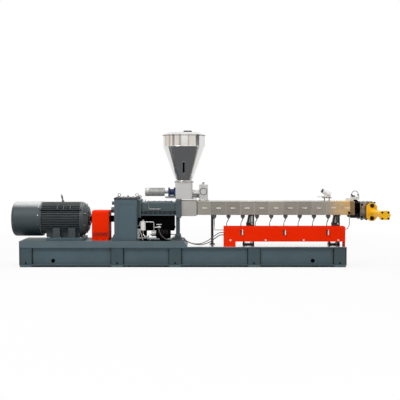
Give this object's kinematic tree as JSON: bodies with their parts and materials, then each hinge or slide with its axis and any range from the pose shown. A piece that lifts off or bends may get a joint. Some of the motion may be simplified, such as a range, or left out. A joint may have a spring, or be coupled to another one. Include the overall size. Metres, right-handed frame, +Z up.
{
  "type": "twin-screw pelletizing machine",
  "caption": "Twin-screw compounding extruder for pellets: motor, gearbox, hopper feeder, heated barrel, pipe trough and hydraulic screen changer on a welded base.",
  "frame": {"origin": "floor level, midway between the four outer anchor holes of the base", "axes": "+X along the screws from the motor to the outlet, +Y to the rear side away from the pipe trough, +Z up"},
  "size_m": [6.34, 1.658, 2.364],
  "materials": {
    "base_paint": "satin grey paint",
    "motor_paint": "satin dark grey paint",
    "gearbox_paint": "satin grey paint",
    "dark_paint": "satin black paint",
    "red_paint": "gloss red-orange paint",
    "yellow_paint": "gloss yellow paint",
    "blue_paint": "gloss navy paint",
    "galvanised": "galvanised sheet",
    "steel": "machined steel",
    "cover_steel": "brushed stainless sheet, warm from heat",
    "polished": "polished stainless steel",
    "silver": "silver paint",
    "white_plastic": "matte",
    "black_plastic": "matte",
    "black_rubber": "matte",
    "steel_braid": "grey braided sleeve"
  },
  "bodies": {
    "machine": {"base_rails": "base_paint", "base_posts": "base_paint", "base_side_plates": "base_paint", "base_cross_beams": "base_paint", "base_feet": "base_paint", "drive_deck": "base_paint", "barrel_deck": "galvanised", "motor_sole_plate": "base_paint", "motor_frame": "motor_paint", "motor_end_shield": "motor_paint", "motor_fan_cover": "motor_paint", "coupling_guard": "red_paint", "gearbox_housing": "gearbox_paint", "gearbox_cover": "dark_paint", "gearbox_caps": "gearbox_paint", "gearbox_fittings": "polished", "distribution_housing": "gearbox_paint", "gearbox_oil_pipe": "steel", "gearbox_pedestal": "gearbox_paint", "oil_sump": "dark_paint", "lube_stand": "dark_paint", "oil_filter": "white_plastic", "lube_pump": "silver", "lube_pump_motor": "dark_paint", "lube_pipes": "steel", "feed_barrel": "steel", "barrel_core": "steel", "barrel_covers": "cover_steel", "barrel_drain_blocks": "steel", "cooling_tubes": "steel", "barrel_stands": "gearbox_paint", "pipe_trough": "red_paint", "trough_legs": "dark_paint", "trough_handles": "polished", "feeder_base": "steel", "feeder_body": "polished", "feeder_gear_unit": "blue_paint", "feeder_motor": "silver", "feeder_bracket": "steel", "feeder_outlet": "polished", "feeder_outlet_box": "polished", "hopper": "polished", "hopper_sight_glass": "black_plastic", "vent_port": "steel", "vent_dome": "steel", "die_adapter": "dark_paint", "screen_changer": "steel", "changer_yoke": "yellow_paint", "hydraulic_cylinder": "yellow_paint", "cylinder_end_cap": "yellow_paint", "terminal_block": "white_plastic", "lead_plug": "dark_paint", "pump_hose": "black_rubber", "pump_cable": "black_rubber", "end_lead": "steel_braid", "sensor_lead": "black_rubber"},
    "drive_rotor": {"drive_shaft": "dark_paint", "motor_fan": "black_plastic"},
    "lid": {"hopper_lid": "polished", "hopper_lid_handle": "black_plastic"}
  },
  "joints": [
    {"name": "coupling_spin", "type": "hinge", "parent": "machine", "child": "drive_rotor", "pos_m": [-1.4, 0, 0.815], "axis": [1, 0, 0], "continuous": true},
    {"name": "lid_lift", "type": "slide", "parent": "machine", "child": "lid", "axis": [0, 0, 1], "range_m": [0, 0.3]}
  ]
}
